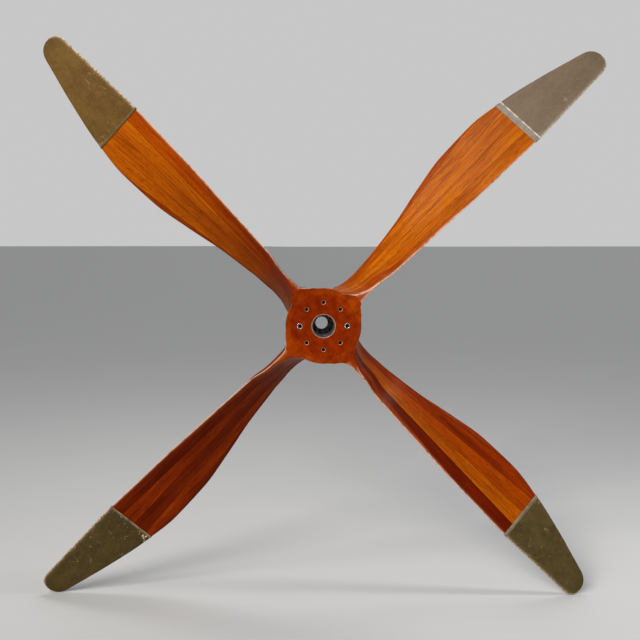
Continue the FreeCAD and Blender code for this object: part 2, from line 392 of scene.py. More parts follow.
def lathe(profile, segments=192):
    """Closed ring turned about the shaft from (radius, depth) corners, in mm."""
    rows = []
    for i in range(segments):
        a = 2 * math.pi * i / segments
        rows.append([(r * math.cos(a) * MM, y * MM, r * math.sin(a) * MM) for r, y in profile])
    count = len(profile)
    verts = [v for row in rows for v in row]
    faces = []
    for i in range(segments):
        n = (i + 1) % segments
        for j in range(count):
            k = (j + 1) % count
            faces.append((i * count + j, i * count + k, n * count + k, n * count + j))
    return verts, faces


def arc_corner(corner, before, after, size, count):
    """A rounded corner in a turned profile."""
    c, b, a = (np.array(v, float) for v in (corner, before, after))
    start = c + (b - c) / np.linalg.norm(b - c) * size
    end = c + (a - c) / np.linalg.norm(a - c) * size
    t = np.linspace(0, 1, count)[:, None]
    return [tuple(v) for v in (1 - t) ** 2 * start + 2 * t * (1 - t) * c + t ** 2 * end]


def rounded(profile, sizes, count):
    """Rounds each corner of a closed profile by its own size; 0 leaves it."""
    result = []
    total = len(profile)
    for i, size in enumerate(sizes):
        if size:
            result += arc_corner(
                profile[i], profile[i - 1], profile[(i + 1) % total], size, count
            )
        else:
            result.append(profile[i])
    return result


def boolean(obj, operation, **operands):
    """The mesh that an object makes with others."""
    modifier = obj.modifiers.new("boolean", "BOOLEAN")
    modifier.operation, modifier.solver = operation, "EXACT"
    for key, value in operands.items():
        setattr(modifier, key, value)
    depsgraph = bpy.context.evaluated_depsgraph_get()
    return bpy.data.meshes.new_from_object(obj.evaluated_get(depsgraph))


def boss_radius(depth):
    share = (depth + HALF_DEPTH) / (2 * HALF_DEPTH)
    return BOSS_NEAR + (BOSS_FAR - BOSS_NEAR) * share


def boss_profile(low, high):
    """(radius, depth) corners of the boss between two depths."""
    bore = BORE + WALL
    profile = [(bore, low), (boss_radius(low), low), (boss_radius(high), high), (bore, high)]
    first, last = low <= -HALF_DEPTH, high >= HALF_DEPTH
    sizes = [1.0 * first, 4.5 * first, 3.0 * last, 1.0 * last]
    return rounded(profile, sizes, 7)


def hole_tool():
    """All the bolt holes as one tool, each with a small lip at both faces."""
    lip, out, sides = 0.9, 6.0, 40
    near, far = -HALF_DEPTH, HALF_DEPTH
    shapes = []
    for i in range(HOLES):
        angle = 2 * math.pi / HOLES * i
        x, z = CIRCLE * math.cos(angle), CIRCLE * math.sin(angle)
        line = [(HOLE + lip, near - out), (HOLE + lip, near), (HOLE, near + lip)]
        line += [(HOLE, far - lip), (HOLE + lip, far), (HOLE + lip, far + out)]
        if i in (0, HOLES // 2):
            line = [(FERRULE, near - out), (FERRULE, near + FERRULE_LENGTH)] + [
                (HOLE, near + FERRULE_LENGTH)] + line[3:]
        turns = [2 * math.pi * k / sides for k in range(sides)]
        shapes.append(skin([
            np.array([(x + r * math.cos(a), y, z + r * math.sin(a)) for a in turns]) * MM
            for r, y in line
        ]))
    return link("hole_tool", closed_mesh("hole_tool", *joined(shapes)))


def boss_slices():
    """Half-board slices of the boss, drilled: sixteen meshes, near to far."""
    tool = hole_tool()
    slices = []
    for i in range(2 * LAYERS):
        low = -HALF_DEPTH + i * BOARD / 2
        obj = link("slice", closed_mesh("slice", *lathe(boss_profile(low, low + BOARD / 2))))
        slices.append(boolean(obj, "DIFFERENCE", object=tool))
        bpy.data.meshes.remove(obj.data)
    bpy.data.meshes.remove(tool.data)
    return slices


WELD = 1e-6


def unite(parts):
    """One closed bmesh from several that touch or overlap."""
    objects = []
    for part in parts:
        mesh = bpy.data.meshes.new("part")
        part.to_mesh(mesh)
        part.free()
        objects.append(link("part", mesh))
    group = bpy.data.collections.new("parts")
    for obj in objects[1:]:
        group.objects.link(obj)
    union = boolean(objects[0], "UNION", operand_type="COLLECTION", collection=group)
    whole = bmesh.new()
    whole.from_mesh(union)
    bpy.data.collections.remove(group)
    for mesh in [union] + [obj.data for obj in objects]:
        bpy.data.meshes.remove(mesh)
    # Slivers left by the union go, and the small gaps they leave are closed.
    bmesh.ops.remove_doubles(whole, verts=whole.verts, dist=WELD)
    bmesh.ops.dissolve_degenerate(whole, edges=whole.edges, dist=WELD)
    gaps = [edge for edge in whole.edges if len(edge.link_faces) == 1]
    bmesh.ops.holes_fill(whole, edges=gaps, sides=0)
    return whole


def slab_of(source, low, high, direction, reach):
    """A copy of a mesh cut to a slab of depth, then across a direction."""
    bm = bmesh.new()
    bm.from_mesh(source)
    cut_between(bm, low, high)
    cut_between(bm, reach[0], reach[1], direction)
    return bm


BOARD_SHARP = 38


def make_boards(materials):
    blades = {}
    for name, angle in ANGLES.items():
        blades[name] = closed_mesh("blade", *blade_tube(angle))
    slices = boss_slices()
    half = math.sqrt(0.5)
    along = {"a": (half, 0, half), "b": (-half, 0, half)}
    for layer in range(LAYERS):
        low = -HALF_DEPTH + layer * BOARD
        high = low + BOARD
        for pair in "ab":
            name = "board_%s%d" % (pair, layer + 1)
            parts = []
            for blade in (pair + "1", pair + "2"):
                turn = math.radians(ANGLES[blade])
                outwards = (math.cos(turn), 0, math.sin(turn))
                last = BOARD_ENDS.get(layer, PAST_THE_TIP)
                spans = [(low, high, 0, last)]
                if layer + 1 in BOARD_ENDS:
                    spans.append((high, high + BOARD, BOARD_ENDS[layer + 1], last))
                for near, far, first, last in spans:
                    parts.append(slab_of(
                        blades[blade], near * MM, far * MM, outwards, (first * MM, last * MM)
                    ))
            other = "b" if pair == "a" else "a"
            full, ends = slices[2 * layer + (pair == "a")], slices[2 * layer + (pair == "b")]
            reach = LAP * MM
            parts.append(slab_of(full, None, None, along[other], (-reach, reach)))
            for low_end, high_end in ((None, -reach), (reach, None)):
                parts.append(slab_of(ends, None, None, along[pair], (low_end, high_end)))
            whole = unite(parts)
            smooth_by_angle(whole, BOARD_SHARP)
            mesh = bpy.data.meshes.new(name + "_wood")
            whole.to_mesh(mesh)
            whole.free()
            mark_wear_and_highlights(mesh)
            board = link(name + "_wood", mesh, materials[name])
            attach(board, "root")
            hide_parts(name)
    for mesh in list(blades.values()) + slices:
        bpy.data.meshes.remove(mesh)


# ---- materials
class Shader:
    """A node material being made; sockets and plain numbers mix freely."""

    def __init__(self, name):
        self.material = bpy.data.materials.new(name)
        self.material.use_nodes = True
        tree = self.material.node_tree
        self.nodes, self.links = tree.nodes, tree.links
        self.nodes.clear()
        output = self.nodes.new("ShaderNodeOutputMaterial")
        self.surface = self.nodes.new("ShaderNodeBsdfPrincipled")
        self.links.new(self.surface.outputs["BSDF"], output.inputs["Surface"])
        self.place = self.nodes.new("ShaderNodeTexCoord").outputs["Object"]

    def feed(self, socket, value):
        if isinstance(value, bpy.types.NodeSocket):
            self.links.new(value, socket)
        else:
            socket.default_value = value

    def node(self, kind, values=(), **settings):
        """A new node, its settings made and its inputs fed by number or name."""
        node = self.nodes.new("ShaderNode" + kind)
        for key, value in settings.items():
            setattr(node, key, value)
        for key, value in values:
            self.feed(node.inputs[key], value)
        return node

    def math(self, operation, *values):
        return self.node("Math", enumerate(values), operation=operation).outputs[0]

    def times(self, *values):
        return self.math("MULTIPLY", *values)

    def plus(self, *values):
        return self.math("ADD", *values)

    def fit(self, value, gain, lift):
        return self.math("MULTIPLY_ADD", value, gain, lift)

    def gap(self, first, second):
        return self.math("ABSOLUTE", self.math("SUBTRACT", first, second))

    def vector(self, operation, *values):
        node = self.node("VectorMath", enumerate(values), operation=operation)
        return node.outputs["Value" if operation in ("DOT_PRODUCT", "LENGTH") else "Vector"]

    def grid(self, *values):
        """A position made of three numbers or sockets."""
        return self.node("CombineXYZ", enumerate(values)).outputs[0]

    def noise(self, place, detail, roughness=0.5, scale=1.0):
        values = ("Vector", place), ("Scale", scale), ("Detail", detail), ("Roughness", roughness)
        return self.node("TexNoise", values).outputs["Fac"]

    def streaks(self, axes, scales, shifts, detail, roughness=0.5):
        """Noise with a scale and a shift of its own along each axis."""
        place = self.grid(*(self.fit(*row) for row in zip(axes, scales, shifts)))
        return self.noise(place, detail, roughness)

    def step(self, value, low, high, to_low=0.0, to_high=1.0):
        """A smooth step from one value to another between low and high."""
        values = (("Value", value), ("From Min", low), ("From Max", high),
                  ("To Min", to_low), ("To Max", to_high))
        return self.node("MapRange", values, interpolation_type="SMOOTHSTEP").outputs["Result"]

    def fall(self, value, low, high):
        return self.step(value, low, high, 1.0, 0.0)

    def ramp(self, value, *stops):
        node = self.node("ValToRGB", [(0, value)])
        ramp = node.color_ramp
        while len(ramp.elements) < len(stops):
            ramp.elements.new(0.5)
        for element, (place, colour) in zip(ramp.elements, stops):
            element.position = place
            element.color = (*colour, 1)
        return node.outputs[0]

    def mix(self, share, first, second, kind="MIX"):
        node = self.node("Mix", [(0, share)], data_type="RGBA", blend_type=kind, clamp_factor=True)
        for key, value in ((6, first), (7, second)):
            colour = value if isinstance(value, bpy.types.NodeSocket) else (*value, 1)
            self.feed(node.inputs[key], colour)
        return node.outputs[2]

    def bump(self, height, strength, distance, base=None):
        values = [("Strength", strength), ("Distance", distance), ("Height", height)]
        return self.node("Bump", values + [("Normal", base)] * bool(base)).outputs[0]

    def attribute(self, name):
        return self.node("Attribute", attribute_name=name).outputs["Fac"]

    def blade_axes(self, angle):
        """Distance along a blade, offset across it, and depth, in metres."""
        c, n = math.cos(math.radians(angle)), math.sin(math.radians(angle))
        return (
            self.vector("DOT_PRODUCT", self.place, (c, 0, n)),
            self.vector("DOT_PRODUCT", self.place, (-n, 0, c)),
            self.vector("DOT_PRODUCT", self.place, (0, 1, 0)),
        )

    def finish(self, **inputs):
        for key, value in inputs.items():
            self.feed(self.surface.inputs[key.replace("_", " ")], value)
        return self.material


# Colours of the darkest, middle and lightest grain in each kind of board.
TONES = {
    "light": ((0.240, 0.042, 0.001), (0.39, 0.090, 0.002), (0.55, 0.165, 0.004)),
    "mid": ((0.210, 0.028, 0.001), (0.32, 0.055, 0.001), (0.44, 0.092, 0.002)),
    "red": ((0.130, 0.012, 0.001), (0.23, 0.029, 0.001), (0.33, 0.052, 0.002)),
    "deep": ((0.085, 0.008, 0.001), (0.155, 0.017, 0.001), (0.22, 0.029, 0.001)),
    "dark": ((0.075, 0.006, 0.001), (0.135, 0.012, 0.001), (0.20, 0.021, 0.001)),
}
# How each board shows on each blade, from the front board to the back one; the darker tones
# of blade a2 are partly the wood's and partly painted shade, that blade being least in the light.
BLADE_TONES = {
    "a1": ("mid", "mid", "light", "light", "light", "light", "mid", "mid"),
    "b1": ("mid", "mid", "mid", "light", "light", "light", "mid", "mid"),
    "a2": ("mid", "red", "deep", "red", "deep", "red", "deep", "deep"),
    "b2": ("red", "red", "dark", "light", "mid", "red", "red", "mid"),
}
BOARD_SLOTS = {
    "a": ("mid", "mid", "mid", "light", "light", "mid", "mid", "red"),
    "b": ("red", "red", "dark", "light", "light", "mid", "red", "red"),
}
SLOTS = {
    "board_%s%d" % (pair, i + 1): "mahogany_" + tone
    for pair, row in BOARD_SLOTS.items() for i, tone in enumerate(row)
}


def wood(board, seed):
    """Varnished mahogany with its grain along the board."""
    s = Shader("wood_" + board)
    pair, layer = board[6], int(board[7]) - 1
    u, v, w = s.blade_axes(ANGLES[pair + "1"])
    tones, others = (TONES[BLADE_TONES[pair + end][layer]] for end in "12")
    shift = 7.31 * seed
    sway = s.streaks((u, v, w), (1.5, 5.0, 5.0), (shift, 0.0, 0.0), 2.0)
    sway = s.fit(sway, 0.07, -0.035)
    v2, w2 = s.plus(v, sway), s.plus(w, s.times(sway, 0.6))

    def grain(along, across, through, detail, roughness=0.5, lift=0.0):
        shifts = (shift + lift, shift * 1.7, shift * 0.6)
        return s.streaks((u, v2, w2), (along, across, through), shifts, detail, roughness)

    figure = grain(0.7, 24.0, 42.0, 3.0, 0.55)
    streak = grain(2.6, 130.0, 190.0, 3.0, 0.6, 11.0)
    fine = grain(11.0, 620.0, 700.0, 2.0, 0.6, 23.0)
    pore = s.step(grain(48.0, 1500.0, 1700.0, 1.0, 0.5, 37.0), 0.62, 0.72)
    fleck = s.step(grain(42.0, 330.0, 360.0, 2.0, 0.6, 51.0), 0.60, 0.72)
    ribbon = grain(4.5, 11.0, 16.0, 2.0, 0.5, 71.0)

    value = s.plus(s.times(figure, 0.55), s.times(streak, 0.45))
    value = s.plus(value, s.fit(ribbon, 0.30, -0.15))
    # Tones pass from one blade's to the other's across the boss; blade a2's tones hold painted
    # shade.
    side = s.step(s.fit(figure, 0.2, s.plus(u, -0.1)), -0.16, 0.16)
    dark, middle, light = (s.mix(side, two, one) for one, two in zip(tones, others))
    colour = s.mix(s.step(value, 0.34, 0.50), dark, middle)
    colour = s.mix(s.step(value, 0.50, 0.66), colour, light)
    colour = s.mix(s.step(fine, 0.38, 0.62, 0.0, 0.35), colour, light)
    shadow = s.step(grain(9.0, 210.0, 240.0, 3.0, 0.7, 97.0), 0.50, 0.66, 0.0, 0.50)
    colour = s.mix(shadow, colour, dark)
    colour = s.mix(s.times(pore, 0.45), colour, (0.07, 0.012, 0.003))
    colour = s.mix(s.times(fleck, 0.60), colour, (0.055, 0.010, 0.002))

    # The glue lines between boards, and the wood beside them a little darker.
    seam = s.gap(s.math("FRACT", s.math("DIVIDE", w, BOARD * MM)), 0.5)
    seam = s.times(seam, s.fall(s.math("ABSOLUTE", w), 0.0785, 0.0792))
    colour = s.mix(s.step(seam, 0.40, 0.5, 0.0, 0.22), colour, dark)
    colour = s.mix(s.step(seam, 0.484, 0.494, 0.0, 0.75), colour, (0.05, 0.010, 0.002))

    # Darker towards the shaft, out to 0.45 m on the a boards and 0.95 m on the b boards,
    # most on blade b1; more so where a flange was clamped to it.
    radius = s.vector("LENGTH", s.vector("MULTIPLY", s.place, (1, 0, 1)))
    reach, near_end, far_end = (0.45, 0.30, 0.15) if pair == "a" else (0.95, 0.95, 0.15)
    deep = s.fit(side, near_end - far_end, far_end)
    deep = s.times(s.fall(radius, 0.14, reach), deep)
    colour = s.mix(deep, colour, (0.50, 0.36, 0.50), "MULTIPLY")
    front = s.fall(w, -0.0796, -0.0790)
    wobble = s.noise(s.place, 3.0, 0.5, 22.0)
    edge = s.fit(wobble, 0.004, 0.1165)
    inside = s.fall(s.math("SUBTRACT", radius, edge), -0.0012, 0.0008)
    ring = s.times(s.fall(s.gap(radius, edge), 0.0, 0.0016), front)
    imprint = s.times(inside, front)
    blotch = s.ramp(s.noise(s.place, 4.0, 0.65, 34.0), (0.36, (0.21, 0.024, 0.001)),
                    (0.52, (0.35, 0.050, 0.002)), (0.68, (0.46, 0.085, 0.004)))
    colour = s.mix(s.times(front, 0.45), colour, blotch)
    colour = s.mix(s.times(imprint, 0.80), colour, (0.88, 0.66, 0.90), "MULTIPLY")
    ring = s.times(ring, s.step(wobble, 0.42, 0.60, 0.10, 0.55))
    colour = s.mix(ring, colour, (0.08, 0.014, 0.004))

    # Handling: scuffs on the front, and varnish worn thin along the edges, with a painted highlight
    # on them.
    scuff = s.noise(s.vector("MULTIPLY", s.place, (90, 30, 60)), 4.0, 0.7)
    scuff = s.times(s.step(scuff, 0.66, 0.78, 0.0, 0.10), front)
    colour = s.mix(scuff, colour, (0.60, 0.33, 0.22))
    patchy = s.noise(s.place, 3.0, 0.6, 55.0)
    wear_and_highlight = s.attribute("wear_and_highlight")
    thin = s.math("POWER", s.math("MINIMUM", wear_and_highlight, 1.0), 2.0)
    pale_edge = s.times(thin, s.step(patchy, 0.32, 0.54, 0.45, 1.0))
    colour = s.mix(s.times(pale_edge, 0.95), colour, (0.95, 0.66, 0.48))
    nick = s.times(thin, s.step(s.noise(s.place, 2.0, 0.5, 130.0), 0.64, 0.70))
    colour = s.mix(s.times(nick, 0.8), colour, (0.05, 0.012, 0.004))
    # Lower lips of the holes and the bore: a painted highlight, paler where they face up.
    lip = s.times(s.step(wear_and_highlight, 1.2, 1.7), s.step(patchy, 0.42, 0.56, 0.1, 0.7))
    colour = s.mix(lip, colour, (0.56, 0.32, 0.20))

    smudge = s.noise(s.place, 3.0, 0.6, 9.0)
    roughness = s.step(smudge, 0.35, 0.7, 0.38, 0.52)
    roughness = s.plus(roughness, s.times(pore, 0.15))
    relief = s.math("SUBTRACT", s.times(streak, 0.5), pore)
    normal = s.bump(relief, 0.22, 0.0004)
    ripple = s.noise(s.place, 2.0, 0.5, 60.0)
    coat = s.bump(ripple, 0.10, 0.0010)
    return s.finish(
        Base_Color=colour, Roughness=roughness, Normal=normal, Coat_Weight=0.05,
        Coat_Roughness=0.14, Coat_IOR=1.35, Coat_Normal=coat, IOR=1.2,
        Specular_Tint=(1.0, 0.55, 0.28, 1.0),
    )


THREAD = 0.0016


def fabric(blade, name, colours, seed, gloss, pale, scratches, chips):
    """Painted cloth glued over a tip: weave, mottling, scratches and worn edges."""
    s = Shader(name)
    u, v, w = s.blade_axes(ANGLES[blade])
    start = SHEATH_START[blade] * MM
    shift = 3.7 * seed
    base, other, streak_colour = colours
    speckled, creased, stain = (
        tuple(c * t for c, t in zip(base, tint))
        for tint in ((0.45, 0.45, 0.45), (0.60, 0.60, 0.60), (0.58, 0.60, 0.42))
    )

    def noise(along, across, detail, roughness=0.5, lift=0.0):
        shifts = (shift + lift, shift * 1.3, 0.0)
        return s.streaks((u, v, w), (along, across, across), shifts, detail, roughness)

    broad = noise(9.0, 14.0, 3.0, 0.6)
    mottle = noise(60.0, 60.0, 4.0, 0.65, 9.0)
    grain = noise(420.0, 420.0, 2.0, 0.6, 17.0)
    colour = s.mix(s.step(broad, 0.34, 0.66), base, other)
    colour = s.mix(s.step(mottle, 0.40, 0.72, 0.0, 0.55), colour, streak_colour)
    colour = s.mix(s.step(grain, 0.35, 0.7, 0.0, 0.30), colour, speckled)
    crinkle = noise(150.0, 110.0, 3.0, 0.6, 71.0)
    colour = s.mix(s.step(crinkle, 0.40, 0.62, 0.0, 0.22), colour, creased)
    stained = s.step(s.plus(u, s.fit(mottle, 0.03, -0.015)), 1.35, 1.40)
    colour = s.mix(s.times(stained, 0.5), colour, stain)

    # Scratches of two directions, thin and broken up.
    lines = None
    for along, across, lift in ((26.0, 9.0, 31.0), (7.0, 30.0, 47.0)):
        field = noise(along, across, 1.0, 0.4, lift)
        thin = s.fall(s.gap(field, 0.5), 0.0, 0.007)
        thin = s.times(thin, s.step(noise(24.0, 24.0, 2.0, 0.5, lift + 5), 0.56, 0.68))
        lines = thin if lines is None else s.math("MAXIMUM", lines, thin)
    colour = s.mix(s.times(lines, scratches), colour, pale)

    # Paint lost at the edges and flaked off in a few places.
    wear_and_highlight = s.attribute("wear_and_highlight")
    patchy = noise(150.0, 150.0, 3.0, 0.6, 61.0)
    pale_edge = s.times(s.math("POWER", wear_and_highlight, 1.3), s.step(patchy, 0.35, 0.62, 0.25, 1.0))
    colour = s.mix(s.times(pale_edge, 0.8), colour, pale)
    flaky = noise(75.0, 75.0, 3.0, 0.7, 83.0)
    near_hem = s.fall(u, start + 0.004, start + 0.06)
    leading = s.step(v, 0.055, 0.095)
    area = s.times(near_hem, s.fit(leading, 0.7, 0.3))
    area = s.plus(area, 0.12)
    spread = s.times(near_hem, s.fit(leading, 0.11, 0.06))
    few = s.times(s.step(flaky, 0.69, 0.72), 0.35)
    many = s.times(s.step(s.plus(flaky, spread), 0.68, 0.70), area)
    flakes = s.math("MAXIMUM", few, many)
    colour = s.mix(s.times(flakes, chips), colour, pale)

    count = 2 * math.pi / THREAD
    warp, weft = (s.math("SINE", s.times(way, count)) for way in (u, v))
    weave = s.times(warp, weft)
    height = s.plus(s.times(weave, 0.22), s.times(grain, 0.9))
    height = s.math("SUBTRACT", height, s.times(flakes, 1.5))
    lumps = s.bump(broad, 0.25, 0.004)
    lumps = s.bump(crinkle, 0.30, 0.0012, lumps)
    normal = s.bump(height, 0.35, 0.00035, lumps)
    roughness = s.step(mottle, 0.3, 0.75, gloss, gloss + 0.2)
    return s.finish(Base_Color=colour, Roughness=roughness, Normal=normal, IOR=1.34,
                    Coat_Weight=0.05, Coat_Roughness=0.3)


def hem_tape(blade, name, colours, seed, ridge):
    """Tape along the inboard edge of a cover, streaked by the brush."""
    s = Shader(name)
    u, v, w = s.blade_axes(ANGLES[blade])
    start, width = SHEATH_START[blade] * MM, HEM_WIDTH[blade] * MM
    shift = 5.1 * seed
    dark, light, pale = colours

    def noise(along, across, detail, roughness=0.5, lift=0.0):
        shifts = (shift + lift, 0.0, 0.0)
        return s.streaks((u, v, w), (along, across, across), shifts, detail, roughness)

    streak = noise(55.0, 330.0, 3.0, 0.6)
    patch = noise(40.0, 30.0, 3.0, 0.6, 7.0)
    value = s.plus(s.times(streak, 0.55), s.times(patch, 0.45))
    colour = s.ramp(value, (0.36, dark), (0.62, light))
    # A pale line along the ridge: bare tape with a painted highlight on its crest.
    at = s.math("DIVIDE", s.math("SUBTRACT", u, start), width)
    line = s.fall(s.gap(at, ridge), 0.0, 0.15)
    broken = s.step(noise(30.0, 42.0, 3.0, 0.6, 19.0), 0.40, 0.60)
    line = s.times(line, s.fit(broken, 0.75, 0.12))
    colour = s.mix(line, colour, pale)
    grain = noise(500.0, 500.0, 2.0, 0.5, 29.0)
    height = s.plus(s.times(grain, 0.6), streak)
    return s.finish(Base_Color=colour, Roughness=s.step(patch, 0.3, 0.7, 0.42, 0.62),
                    Normal=s.bump(height, 0.4, 0.0004), IOR=1.45)


def metal(name, colour, tarnish, rough, seed, dull=0.5):
    """Steel with a turned finish, tarnish and dirt."""
    s = Shader(name)
    radius = s.vector("LENGTH", s.vector("MULTIPLY", s.place, (1, 0, 1)))
    depth = s.vector("DOT_PRODUCT", s.place, (0, 1, 0))
    turned = s.grid(
        s.times(radius, 3000.0), s.times(depth, 3000.0), seed * 3.1
    )
    turned = s.noise(turned, 2.0)
    dirt = s.noise(s.place, 4.0, 0.65, 85.0)
    spots = s.noise(s.place, 3.0, 0.6, 420.0)
    mask = s.plus(s.times(dirt, 0.6), s.times(spots, 0.4))
    mask = s.step(mask, 0.62 - dull * 0.3, 0.75 - dull * 0.3)
    shade = s.mix(s.step(turned, 0.3, 0.7, 0.0, 0.35), colour, tuple(c * 0.5 for c in colour))
    shade = s.mix(s.times(mask, 0.85), shade, tarnish)
    return s.finish(
        Base_Color=shade, Metallic=s.math("SUBTRACT", 1.0, s.times(mask, 0.7)),
        Roughness=s.plus(rough, s.times(mask, 0.25)),
        Normal=s.bump(s.plus(turned, s.times(spots, 0.6)), 0.25, 0.0002),
    )


def peg_wood(name, seed):
    """End grain of a stained peg."""
    s = Shader(name)
    rings = s.noise(s.vector("MULTIPLY", s.place, (900, 200, 900)), 3.0, 0.6)
    spots = s.noise(s.place, 2.0, 0.5, 2600.0 + seed)
    colour = s.ramp(rings, (0.35, (0.030, 0.007, 0.003)), (0.65, (0.12, 0.030, 0.010)))
    colour = s.mix(s.step(spots, 0.55, 0.7, 0.0, 0.6), colour, (0.015, 0.005, 0.002))
    return s.finish(Base_Color=colour, Roughness=s.step(rings, 0.3, 0.7, 0.35, 0.55),
                    Coat_Weight=0.35, Coat_Roughness=0.2, Normal=s.bump(spots, 0.3, 0.0003))


# ---- pieces
CORNERS = {}

# How bare edges fade into varnish, in mm: along blades, at the boss's rim and at the lips of
# the holes; the pale band is also a painted highlight, brighter below than above at the lips.
EDGE_FADE, BROAD_FADE, BROAD_BLADE, BROAD_TO = 4.2, 6.5, "a1", 660
CREST_SOFT, CREST_RUN = 14, 25
RIM_FADE, RIM_SHARE = 2.2, 0.6
LIP_BELOW, LIP_ABOVE = 2.0, 1.1
HOLE_LIP, HOLE_FADE = 1.5, 1.3
BORE_LIP, BORE_FADE = 1.4, 1.4


def corners(radius):
    """Both corners of the trailing edge at a distance from the shaft."""
    key = round(radius)
    if key not in CORNERS:
        face, back = face_and_back(min(max(key, ROOT_ENDS), TIP))
        CORNERS[key] = (face[0], back[0])
    return CORNERS[key]


def mark_wear_and_highlights(mesh, proud=0.0):
    """Marks face corners near exposed edges, up to 1, and hole lips, up to 2; worn varnish with a
    painted highlight, most at the lower lips.
    """
    coords = np.zeros(len(mesh.vertices) * 3)
    mesh.vertices.foreach_get("co", coords)
    coords = coords.reshape(-1, 3) / MM
    wear_and_highlight = np.zeros(len(coords))
    turn = np.arctan2(coords[:, 2], coords[:, 0])
    for name, angle in ANGLES.items():
        a = math.radians(angle)
        away = np.abs((turn - a + math.pi) % (2 * math.pi) - math.pi)
        for i in np.nonzero(away <= math.pi / 4)[0]:
            x, y, z = coords[i]
            r = x * math.cos(a) + z * math.sin(a)
            s = -x * math.sin(a) + z * math.cos(a)
            span = math.hypot(x, z)
            near = math.inf
            # Pale trailing edges: worn varnish and a painted highlight, the highlight wider on
            # blade a1 inboard.
            if r > BLADES_FROM:
                front, rear = corners(r)
                near = math.hypot(s - rear[0], y - rear[1])
                soft = CREST_SOFT * min(1.0, max(0.0, (CREST_FROM[name] - r) / CREST_RUN))
                near = min(near, math.hypot(s - front[0], y - front[1]) + soft)
            fade = BROAD_FADE if name == BROAD_BLADE and r < BROAD_TO else EDGE_FADE
            wear_and_highlight[i] = math.exp(-max(near - proud, 0) / fade)
            if span < BOSS_NEAR + 4:
                depth = HALF_DEPTH - abs(y)
                rim = math.hypot(span - boss_radius(y), depth)
                wear_and_highlight[i] = max(wear_and_highlight[i], RIM_SHARE * math.exp(-rim / RIM_FADE))
                step = 2 * math.pi / HOLES
                hole = step * round(math.atan2(z, x) / step)
                reach = math.hypot(x - CIRCLE * math.cos(hole), z - CIRCLE * math.sin(hole))
                # The lips are pale bare chamfers with a painted highlight, the lower ones brighter
                # as they face up to the light.
                if reach < HOLE + HOLE_LIP:
                    lip = LIP_BELOW if z < CIRCLE * math.sin(hole) else LIP_ABOVE
                    wear_and_highlight[i] = max(wear_and_highlight[i], lip * math.exp(-(depth / HOLE_FADE) ** 2))
                if span < BORE + WALL + BORE_LIP:
                    lip = LIP_BELOW if z < 0 else LIP_ABOVE
                    wear_and_highlight[i] = max(wear_and_highlight[i], lip * math.exp(-(depth / BORE_FADE) ** 2))
    at_corner = np.zeros(len(mesh.loops))
    for face in mesh.polygons:
        flat = abs(face.normal.y) > FLAT and math.hypot(face.center.x, face.center.z) < 0.16
        for k in face.loop_indices:
            at_corner[k] = 0 if flat else wear_and_highlight[mesh.loops[k].vertex_index]
    layer = mesh.attributes.new("wear_and_highlight", "FLOAT", "CORNER")
    layer.data.foreach_set("value", at_corner.astype(np.float32))


def over_tip(radius, up):
    """A radius moved outwards past the start of the tip, by up at its end."""
    return radius + max(radius - TIP_START, 0.0) * up / (TIP - TIP_START)


def shell_rows(angle, radii, up):
    """Rows of a cover at an even height over the wood."""
    return [placed(over_tip(radius, up), grown(outline(radius), up), angle) for radius in radii]


def waves(radius, angle, points):
    """Slight unevenness of glued cloth, in mm, at section points."""
    o, y = points[:, 0], points[:, 1]
    return (
        0.10 * np.sin(radius * 0.071 + o * 0.052 + angle)
        * np.sin(radius * 0.023 - o * 0.093 + y * 0.05 + 2 * angle)
        + 0.05 * np.sin(radius * 0.19 + o * 0.13 + 3 * angle)
    )


def make_sheath(name, angle, material):
    start = SHEATH_START[name]
    inner_radii = stations(start + 0.3, TIP_START, 14) + tip_stations()
    outer_radii = [start, start + 0.5] + stations(start + 3, TIP_START, 7) + tip_stations()
    inner = shell_rows(angle, inner_radii, 0.06)[::-1]
    outer = []
    for radius in outer_radii:
        up = SHEATH if radius > start else SHEATH - 0.5
        points = outline(radius)
        fade = min(1.0, max(0.0, (TIP - radius) / 60)) * min(1.0, (radius - start) / 20)
        lift = up - 0.16 * fade + fade * waves(radius, angle, points)[:, None]
        outwards = grown(points, 1.0) - points
        outer.append(placed(over_tip(radius, up), points + outwards * lift, angle))
    mesh = closed_mesh("tip_cover_" + name, *skin(inner + outer), 40)
    mark_wear_and_highlights(mesh, SHEATH)
    cover = link("tip_cover_" + name, mesh, material)
    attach(cover, "root")
    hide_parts("tip_sheath_" + name)
    return cover


def make_hem(name, angle, material):
    start, width = SHEATH_START[name], HEM_WIDTH[name]
    top = SHEATH + HEM - 0.02
    if width > 20:
        profile = ((0, 1.3), (0.03, 1.75), (0.1, 1.85), (0.3, 1.72), (0.55, 1.7), (0.72, 1.75),
                   (0.82, 1.95), (0.9, top), (0.96, 1.85), (1.0, 1.3))
    elif width > 12:
        profile = ((0, 1.3), (0.06, 1.8), (0.2, top), (0.5, 1.95), (0.8, top), (0.94, 1.8),
                   (1.0, 1.3))
    else:
        profile = ((0, 1.3), (0.08, 1.75), (0.3, top), (0.6, top), (0.85, 1.75), (1.0, 1.3))
    outer = [shell_rows(angle, [start + share * width], up)[0] for share, up in profile]
    inner = shell_rows(angle, [start + width, start + width / 2, start], SHEATH + 0.01)
    rows = outer + inner
    count = len(rows[0])
    verts, faces = skin(rows, closed=False)
    last = (len(rows) - 1) * count
    for j in range(count):
        k = (j + 1) % count
        faces.append((last + j, last + k, k, j))
    mesh = closed_mesh("tip_tape_" + name, verts, faces, 60)
    mark_wear_and_highlights(mesh, SHEATH + HEM)
    hem = link("tip_tape_" + name, mesh, material)
    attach(hem, "root")
    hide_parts("tip_hem_" + name)
    return hem


# Radius of a peg, and how far below the driving face.
PEG_PROFILE = ((2.6, 14.0), (2.6, 0.10), (2.35, -0.04), (1.2, -0.08))


